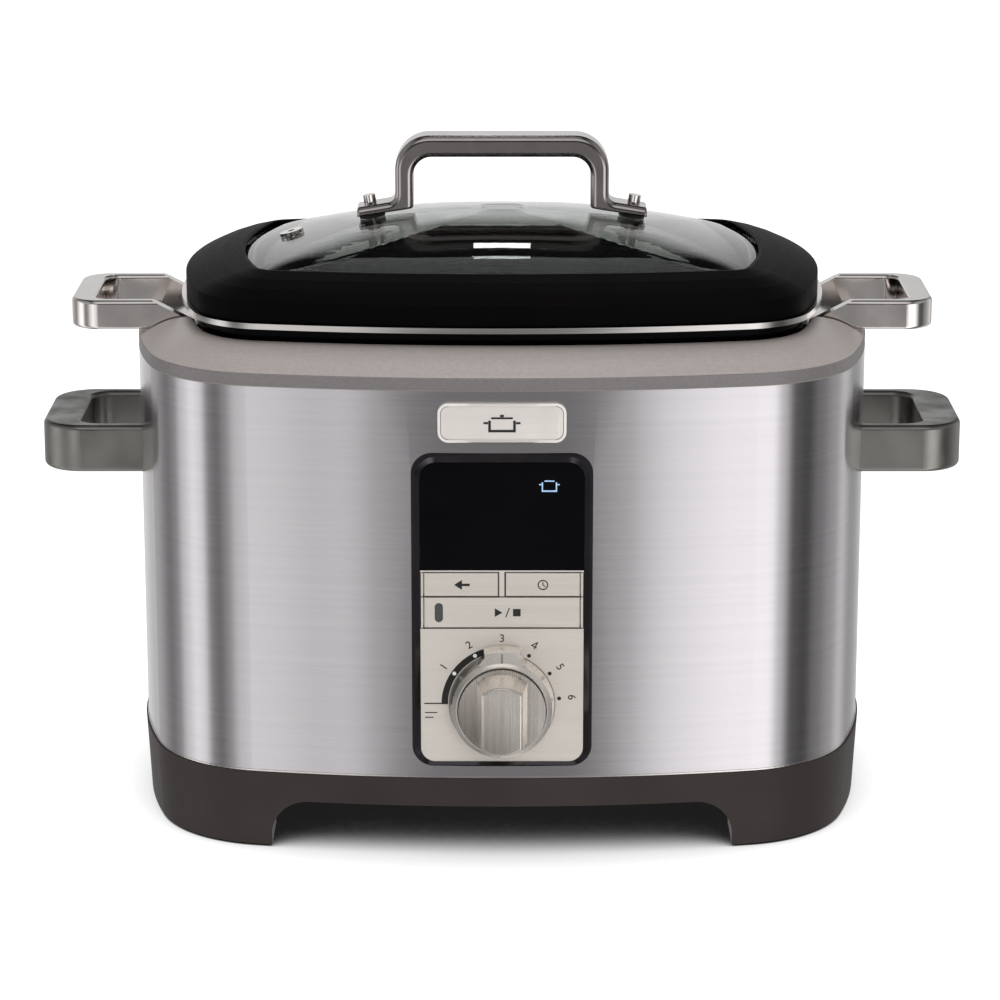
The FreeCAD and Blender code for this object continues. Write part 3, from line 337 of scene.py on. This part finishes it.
# border_silver is brighter than the badge, for a painted highlight round its edge
M["border_silver"] = brushed("border_silver", (0.88, 0.84, 0.80), 0.35, (12, 12, 1500),
                             aniso=0.2, contrast=0.03, metallic=0.3)
M["ink"] = moulded("ink", (0.012, 0.011, 0.011), 0.5, 1200, 0.000005)
M["white_ink"] = moulded("white_ink", (0.85, 0.84, 0.82), 0.5, 1200, 0.000005)
M["engraving"] = moulded("engraving", (0.20, 0.185, 0.17), 0.5, 1200, 0.000005)


def glow():
    """The lit sign on the display."""
    made = Shader("lit_blue", (0.02, 0.03, 0.05), 0.0, 0.4, Emission_Strength=1.0)
    pixel = made.noise(made.place(), 900, 1)
    made.join(made.tint(pixel, (0.30, 0.52, 0.86), (0.52, 0.74, 1.0)), made.shader.inputs["Emission Color"])
    return made.material


M["lit_blue"] = glow()

for node in nodes.values():
    for slot in node.material_slots:
        slot.material = M[slot.material.name.split(".")[0]]
# the lid handle gets the darker copy of polished steel, a painted shade
nodes["lid_handle"].material_slots[0].material = M["grip_steel"]


def eased(width, names):
    """Rounds the sharp edges of CAD nodes a little, so that they catch the light."""
    for name in names.split():
        node = nodes[name]
        weld = node.modifiers.new("weld", "WELD")
        weld.merge_threshold = 0.000002
        bevel = node.modifiers.new("ease", "BEVEL")
        bevel.width = width * MM
        bevel.segments = 2
        bevel.limit_method = "ANGLE"
        bevel.angle_limit = math.radians(40)
        bevel.harden_normals = True


eased(0.25, "back_button timer_button start_stop_button control_plate badge")

# ---- printed marks ----


def arc(cx, cy, radius, start, end, steps=24):
    """Points on an arc, in degrees from the top, clockwise."""
    turns = [math.radians(start + (end - start) * k / steps) for k in range(steps + 1)]
    return [(cx + radius * math.sin(t), cy + radius * math.cos(t)) for t in turns]


def bar(x0, y0, x1, y1):
    """The corners of an upright box."""
    return [(x0, y0), (x1, y0), (x1, y1), (x0, y1)]


def disc(cx, cy, radius, steps=32):
    return arc(cx, cy, radius, 0, 360 * (steps - 1) / steps, steps - 1)


def soft_box(x0, y0, x1, y1, radius):
    """A box with round corners, its straights split about every 2 mm so that they can follow a curve."""
    corners = ((x1 - radius, y1 - radius, 0), (x1 - radius, y0 + radius, 90),
               (x0 + radius, y0 + radius, 180), (x0 + radius, y1 - radius, 270))
    loop = [p for cx, cy, start in corners for p in arc(cx, cy, radius, start, start + 90, 8)]
    made = []
    for (ax, ay), (bx, by) in zip(loop, loop[1:] + loop[:1]):
        parts = max(1, round(math.hypot(bx - ax, by - ay) / 2))
        made += [(ax + (bx - ax) * k / parts, ay + (by - ay) * k / parts) for k in range(parts)]
    return made


def stroke(points, width):
    """An outline round an open line of points."""
    left, right = [], []
    for k, (x, y) in enumerate(points):
        x0, y0 = points[max(k - 1, 0)]
        x1, y1 = points[min(k + 1, len(points) - 1)]
        dx, dy = x1 - x0, y1 - y0
        size = math.hypot(dx, dy)
        nx, ny = -dy / size * width / 2, dx / size * width / 2
        left.append((x + nx, y + ny))
        right.append((x - nx, y - ny))
    return left + right[::-1]


def settle(name, curve, body, material, front, at=(0, 0), turn=0, bend=None):
    """Stands a flat curve, drawn in mm, upright at a front depth, and makes it a mesh that rides on a body."""
    thing = bpy.data.objects.new(name + "_curve", curve)
    scene.collection.objects.link(thing)
    bpy.context.view_layer.update()
    mesh = bpy.data.meshes.new_from_object(thing.evaluated_get(bpy.context.evaluated_depsgraph_get()))
    bpy.data.objects.remove(thing)
    bpy.data.curves.remove(curve)
    mesh.name = name
    upright = (Matrix.Translation((at[0] * MM, front * MM + BACK, at[1] * MM))
               @ Matrix.Rotation(math.radians(90), 4, "X")
               @ Matrix.Rotation(math.radians(-turn), 4, "Z") @ Matrix.Scale(MM, 4))
    mesh.transform(upright)
    if bend:
        for v in mesh.vertices:
            v.co.y += bend(v.co.x)
    piece = bpy.data.objects.new(name, mesh)
    scene.collection.objects.link(piece)
    mesh.materials.clear()
    mesh.materials.append(M[material])
    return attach(piece, body)


def mark(name, loops, body, material, front, thick=0.06, **where):
    """A thin printed mark from closed loops; a loop inside another is a hole."""
    curve = bpy.data.curves.new(name, "CURVE")
    curve.dimensions = "2D"
    curve.fill_mode = "BOTH"
    curve.extrude = thick
    for loop in loops:
        line = curve.splines.new("POLY")
        line.points.add(len(loop) - 1)
        for point, (x, y) in zip(line.points, loop):
            point.co = (x, y, 0, 1)
        line.use_cyclic_u = True
    return settle(name, curve, body, material, front, **where)


def numeral(name, text, height, body, material, front, thick=0.05, **where):
    """A thin printed numeral; the font's digits are 0.69 of its size."""
    curve = bpy.data.curves.new(name, "FONT")
    curve.body = text
    curve.size = height / 0.69
    curve.align_x = curve.align_y = "CENTER"
    curve.extrude = thick
    curve.resolution_u = 6
    curve.offset = 0.025
    return settle(name, curve, body, material, front, **where)


# depths of the printed faces, in mm from the housing's middle; the front is negative
PLATE, KEY, DISPLAY, TAB, DISC = -127.6, -127.9, -127.6, -137.4, -141.0
STOPS = (-56, -28, 0, 28, 56, 84)  # degrees from the top, clockwise
DOT_REACH = 27.3


def round_dial(reach, angle):
    """The point at a distance from the dial's axis and an angle from its top."""
    return DIAL_X + reach * math.sin(math.radians(angle)), DIAL_Z + reach * math.cos(math.radians(angle))


def sector(inner, outer, start, end, steps):
    """A band round the dial between two radii."""
    return arc(DIAL_X, DIAL_Z, outer, start, end, steps) + arc(DIAL_X, DIAL_Z, inner, end, start, steps)


mark("dial_arc", [sector(25.7, 28.8, -90, -18, 40)], "housing", "ink", PLATE)
mark("dial_line", [bar(-37, 75.1, -28.4, 75.7)], "housing", "ink", PLATE)
for number, angle in enumerate(STOPS, start=1):
    spot = round_dial(DOT_REACH, angle)
    if angle < 0:
        mark(f"dial_dot_{number}", [disc(*spot, 0.95)], "housing", "white_ink", PLATE - 0.06)
    elif angle > 0:
        mark(f"dial_dot_{number}", [disc(*spot, 0.95)], "housing", "ink", PLATE)
    at = round_dial(33.2 if angle else 32.6, angle)
    if number == 4:
        mark("dial_numeral_4",
             [[(0.3, 1.9), (0.8, 1.9), (0.8, -0.6), (1.4, -0.6), (1.4, -1.05), (0.8, -1.05), (0.8, -1.9),
               (0.3, -1.9), (0.3, -1.05), (-1.5, -1.05), (-1.5, -0.6)],
              [(0.29, 1.1), (0.29, -0.59), (-0.85, -0.59)]],
             "housing", "ink", PLATE, thick=0.05, at=at, turn=angle)
    else:
        numeral(f"dial_numeral_{number}", str(number), 3.7, "housing", "ink", PLATE, at=at, turn=angle)
mark("ring_shadow", [sector(24.3, 25.35, 18, 342, 90)], "housing", "engraving", PLATE, thick=0.01)
mark("dial_minus", [bar(-36.6, 70.6, -30.8, 71.1), bar(-36.6, 68.2, -32.6, 68.7)], "housing", "ink", PLATE)

# painted shade: dark ink bars in the gaps round the keys
for name in ("back_button", "timer_button", "start_stop_button"):
    corners = [Vector(c) / MM for c in nodes[name].bound_box]
    x0, x1 = min(c.x for c in corners) - 0.06, max(c.x for c in corners) + 0.06
    z0, z1 = min(c.z for c in corners) - 0.06, max(c.z for c in corners) + 0.06
    mark("gap_" + name, [bar(x0 - 0.62, z0 - 0.3, x0, z1 + 0.3), bar(x1, z0 - 0.3, x1 + 0.45, z1 + 0.3),
                         bar(x0 + 0.001, z0 - 0.5, x1 - 0.001, z0), bar(x0 + 0.001, z1, x1 - 0.001, z1 + 0.28)],
         "housing", "ink", PLATE, thick=0.02)

mark("back_icon",
     [[(-22.6, 134.15), (-18.9, 136.6), (-18.9, 134.75), (-15.2, 134.75), (-15.2, 133.55), (-18.9, 133.55),
       (-18.9, 131.7)]],
     "back_key", "ink", KEY)
mark("timer_icon", [disc(19.3, 134.1, 2.5, 40), disc(19.3, 134.1, 1.95, 40)], "timer_key", "ink", KEY)
mark("timer_hands", [stroke([(19.3, 135.6), (19.3, 134.0), (20.4, 133.3)], 0.5)], "timer_key", "ink", KEY)
mark("start_icon", [[(-3.4, 122.6), (-3.4, 118.4), (0.2, 120.5)]], "start_key", "ink", KEY)
mark("slash_icon", [[(1.5, 118.2), (2.05, 118.2), (3.75, 122.8), (3.2, 122.8)]], "start_key", "ink", KEY)
mark("stop_icon", [bar(5.2, 118.7, 8.8, 122.3)], "start_key", "ink", KEY)

# a plain pot on the display
mark("pot_symbol", [[(18.6, 184), (19.2, 184), (19.2, 180.1), (25.2, 180.1), (25.2, 184), (25.8, 184),
                     (25.8, 179.4), (18.6, 179.4)],
                    bar(17.4, 182.6, 18.5, 183.2), bar(25.9, 182.6, 27.0, 183.2), bar(19.9, 184.3, 24.5, 184.9)],
     "housing", "lit_blue", DISPLAY, thick=0.03)
mark("tab_line", [bar(-0.45, 96.4, 0.45, 103.0)], "mode_dial", "engraving", TAB, thick=0.03)
for side, (x, way) in {"left": (-7.6, -1), "right": (7.6, 1)}.items():
    mark(f"arrow_{side}", [stroke(arc(DIAL_X, DIAL_Z, 18.6, way * 17, way * 26, 8), 0.5),
                           [(x + way * 1.9, 91.3), (x + way * 0.7, 93.2), (x + way * 0.4, 90.9)]],
         "select_dial", "engraving", DISC, thick=0.03)


BADGE = -131.4


def bow(x):
    """How far a point on the housing's front lies behind the front's middle."""
    return (FRONT_BOW - math.sqrt(FRONT_BOW ** 2 - (x / MM) ** 2)) * MM


# a brighter silver frame, a painted highlight along the badge's edge
mark("badge_edge_highlight", [soft_box(-30, 204, 30, 222.7, 5), soft_box(-28.8, 205.2, 28.8, 221.5, 3.8)],
     "housing", "border_silver", BADGE, thick=0.35, bend=bow)
# a dark line inside the border, painted shade under the badge's edge
mark("badge_edge_shade", [soft_box(-28.75, 205.25, 28.75, 221.45, 3.75), soft_box(-28.4, 205.6, 28.4, 221.1, 3.4)],
     "housing", "engraving", BADGE, thick=0.04, bend=bow)
mark("badge_pot", [[(-6.4, 214.6), (-5.2, 214.6), (-5.2, 210.2), (5.2, 210.2), (5.2, 214.6), (6.4, 214.6),
                    (6.4, 209.0), (-6.4, 209.0)],
                   bar(-8.6, 212.9, -6.5, 213.9), bar(6.5, 212.9, 8.6, 213.9), bar(-5.0, 215.3, 5.0, 216.2),
                   bar(-0.9, 216.3, 0.9, 217.4)],
     "housing", "ink", BADGE - 0.05, thick=0.05, bend=bow)


def plan(grow):
    """Points round the housing's plan shape, grown outwards: bowed front and sides joined by rounder corners."""
    front, side, corner, half_w, half_d = FRONT_BOW, 252, 63, 180, 130
    back_y, side_x = half_d - front, half_w - side
    far = math.hypot(side_x, back_y)
    along = ((front - corner) ** 2 - (side - corner) ** 2 + far ** 2) / (2 * far)
    rise = math.sqrt((front - corner) ** 2 - along ** 2)
    cx = (along * side_x - rise * back_y) / far
    cy = -(along * back_y + rise * side_x) / far + back_y
    cx, cy = abs(cx), abs(cy)
    turn, lean = math.atan2(cy - back_y, cx), math.atan2(cy, cx - side_x)
    quarter = []
    for mx, my, radius, start, end, steps in ((0, back_y, front, math.pi / 2, turn, 24),
                                              (cx, cy, corner, turn, lean, 24), (side_x, 0, side, lean, 0, 12)):
        for k in range(steps):
            a = start + (end - start) * k / steps
            quarter.append((mx + (radius + grow) * math.cos(a), my + (radius + grow) * math.sin(a)))
    quarter.append((half_w + grow, 0))
    half = quarter + [(x, -y) for x, y in quarter[-2::-1]]
    return half + [(-x, y) for x, y in half[-2:0:-1]]


def band(name, low, high, inner, outer, body, material):
    """A thin closed ring that follows the housing's plan."""
    made = bmesh.new()
    rings = [[made.verts.new((x * MM, y * MM + BACK, z * MM)) for x, y in plan(grow)]
             for grow, z in ((inner, low), (outer, low), (outer, high), (inner, high))]
    for a, b in zip(rings, rings[1:] + rings[:1]):
        for k in range(len(a)):
            made.faces.new((a[k], a[k - 1], b[k - 1], b[k]))
    bmesh.ops.recalc_face_normals(made, faces=made.faces)
    mesh = bpy.data.meshes.new(name)
    made.to_mesh(mesh)
    made.free()
    piece = bpy.data.objects.new(name, mesh)
    scene.collection.objects.link(piece)
    mesh.materials.append(M[material])
    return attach(piece, body)


band("shell_hem", 38.55, 39.5, -0.3, 0.22, "housing", "vent_steel")
band("collar_seam", 228.1, 228.6, -0.3, 0.06, "housing", "engraving")

# ---- stage ----


WHITE = 1.25  # emission that renders as plain white


def stage_piece(name, kit, build, **sizes):
    """A piece of the stage, made by a bmesh operator."""
    made = bmesh.new()
    build(made, **sizes)
    mesh = bpy.data.meshes.new(name)
    made.to_mesh(mesh)
    made.free()
    mesh.materials.append(kit.material)
    thing = bpy.data.objects.new(name, mesh)
    scene.collection.objects.link(thing)
    return thing


def floor():
    """A white glowing floor with a painted contact shadow that darkens it close to the object, and that metal doesn't
    mirror.
    """
    kit = Shader("floor_white", (0, 0, 0), 0.0, 0.9, Emission_Strength=WHITE, Specular_IOR_Level=0.0)
    # ambient occlusion paints the contact shadow into the floor's glow
    contact_shadow = kit.node("AmbientOcclusion", Distance=0.12)
    contact_shadow.samples = 24
    light = kit.tint(contact_shadow.outputs["AO"], (0.01, 0.01, 0.01), (1, 1, 1), start=0.14, end=0.72)
    kit.join(light, kit.shader.inputs["Emission Color"])
    thing = stage_piece("floor", kit, bmesh.ops.create_grid, x_segments=1, y_segments=1, size=7)
    thing.visible_glossy = False
    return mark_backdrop(thing)


def backdrop():
    """A white dome that only the eye sees, for views from low down."""
    kit = Shader("backdrop_white", (0, 0, 0), 0.0, 0.9, Emission_Strength=WHITE, Specular_IOR_Level=0.0)
    light = kit.tint(kit.noise(kit.place(), 1.0), (0.98, 0.98, 0.98), (1, 1, 1))
    kit.join(light, kit.shader.inputs["Emission Color"])
    thing = stage_piece("backdrop", kit, bmesh.ops.create_uvsphere, u_segments=48, v_segments=24, radius=6.5)
    for way in ("glossy", "diffuse", "transmission", "volume_scatter", "shadow"):
        setattr(thing, "visible_" + way, False)
    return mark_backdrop(thing)


floor()
backdrop()

# Brightness of the studio round the object, by compass angle from the front towards the right.
STUDIO = [
    (-180, 0.95), (-140, 0.5), (-114, 0.25), (-104, 0.36), (-92, 0.9), (-80, 1.25), (-72, 1.1), (-62, 0.28),
    (-54, 0.2), (-46, 0.4), (-36, 0.85), (-25, 1.15), (-20, 0.9), (-18.3, 0.78), (-16, 1.1), (-13.5, 0.75),
    (-11, 0.36), (-7, 0.26), (8, 0.25), (11, 0.36), (13.5, 0.82), (17, 1.25), (25, 1.6), (40, 1.6), (50, 0.85),
    (62, 0.13), (76, 0.08), (90, 0.24), (112, 0.45), (128, 0.75), (152, 0.36), (180, 0.95),
]
GAIN = 2.0  # ramp colours hold the brightness divided by this
SOFTBOX = (0.0, -0.74, 0.67)  # where the soft light in front hangs


def world():
    """Walls by compass angle, and a dark ceiling with a softbox in front, dim flanks and a dim patch overhead."""
    made = bpy.data.worlds.new("studio")
    scene.world = made
    made.use_nodes = True
    tree = made.node_tree
    back = tree.nodes["Background"]

    def node(kind, operation=None, **inputs):
        new = tree.nodes.new("ShaderNode" + kind)
        if operation:
            new.operation = operation
        for key, value in inputs.items():
            socket = new.inputs[int(key[1:]) if key[1:].isdigit() else key]
            if isinstance(value, bpy.types.NodeSocket):
                tree.links.new(value, socket)
            else:
                socket.default_value = value
        return new

    way_vector = node("TexCoord").outputs["Generated"]
    way = node("SeparateXYZ", Vector=way_vector)
    behind = node("Math", "MULTIPLY", i0=way.outputs["Y"], i1=-1.0).outputs[0]
    angle = node("Math", "ARCTAN2", i0=way.outputs["X"], i1=behind).outputs[0]
    part = node("MapRange", i0=angle, i1=-math.pi, i2=math.pi, i3=0.0, i4=1.0).outputs[0]
    ramp = node("ValToRGB", Fac=part)
    ramp.color_ramp.interpolation = "EASE"
    while len(ramp.color_ramp.elements) < len(STUDIO):
        ramp.color_ramp.elements.new(0.5)
    for element, (degrees, light) in zip(ramp.color_ramp.elements, STUDIO):
        element.position = (degrees + 180) / 360
        element.color = (light / GAIN, light / GAIN, light / GAIN, 1)
    # the ceiling begins higher up towards the back, and fades in
    limit = node("MapRange", i0=way.outputs["Y"], i1=-0.5, i2=0.45, i3=0.02, i4=0.52).outputs[0]
    over = node("Math", "SUBTRACT", i0=way.outputs["Z"], i1=limit).outputs[0]
    rise = node("MapRange", i0=over, i1=-0.12, i2=0.05, i3=0.0, i4=1.0).outputs[0]
    mix = node("Mix")
    mix.data_type = "RGBA"
    tree.links.new(rise, mix.inputs["Factor"])
    tree.links.new(ramp.outputs["Color"], mix.inputs[6])
    aim = node("VectorMath", "DOT_PRODUCT", i0=way_vector, i1=SOFTBOX).outputs["Value"]
    box = node("MapRange", i0=aim, i1=0.88, i2=0.94, i3=0.012, i4=0.42).outputs[0]
    aside = node("Math", "ABSOLUTE", i0=way.outputs["X"]).outputs[0]
    flank = node("MapRange", i0=aside, i1=0.34, i2=0.66, i3=0.0, i4=0.17).outputs[0]
    crown = node("MapRange", i0=way.outputs["Z"], i1=0.92, i2=0.98, i3=0.0, i4=0.2).outputs[0]
    lamps = node("Math", "ADD", i0=flank, i1=crown).outputs[0]
    tree.links.new(node("Math", "ADD", i0=box, i1=lamps).outputs[0], mix.inputs[7])
    tree.links.new(mix.outputs[2], back.inputs["Color"])
    back.inputs["Strength"].default_value = GAIN


world()


def lamp(name, at, look, size, power, glossy=False):
    """A rectangular light that looks at a point; metal and glass mirror it only if it is glossy."""
    data = bpy.data.lights.new(name, "AREA")
    data.shape = "RECTANGLE"
    data.size, data.size_y = size
    data.energy = power
    thing = bpy.data.objects.new(name, data)
    scene.collection.objects.link(thing)
    thing.location = at
    thing.rotation_euler = (Vector(look) - Vector(at)).to_track_quat("-Z", "Y").to_euler()
    thing.visible_glossy = glossy


lamp("top_soft", (0, 0.1, 2.4), (0, 0, 0), (3.4, 3.0), 55)
lamp("window", (0.0, 1.235, 1.90), (0, -0.035, 0.287), (0.11, 0.11), 0.5, glossy=True)
lamp("front_soft", (0.5, -2.4, 1.3), (0, 0, 0.15), (2.2, 1.6), 22)

# ---- camera ----

camera_data = bpy.data.cameras.new("camera")
camera_data.sensor_width = 36
camera_data.lens = 129.13
camera_data.shift_x = -0.002
camera = bpy.data.objects.new("camera", camera_data)
scene.collection.objects.link(camera)
camera.location = (0, -1.753 + BACK, 0.604)
camera.rotation_euler = (math.radians(75.23), 0, 0)
scene.camera = camera
scene.view_settings.view_transform = "Standard"
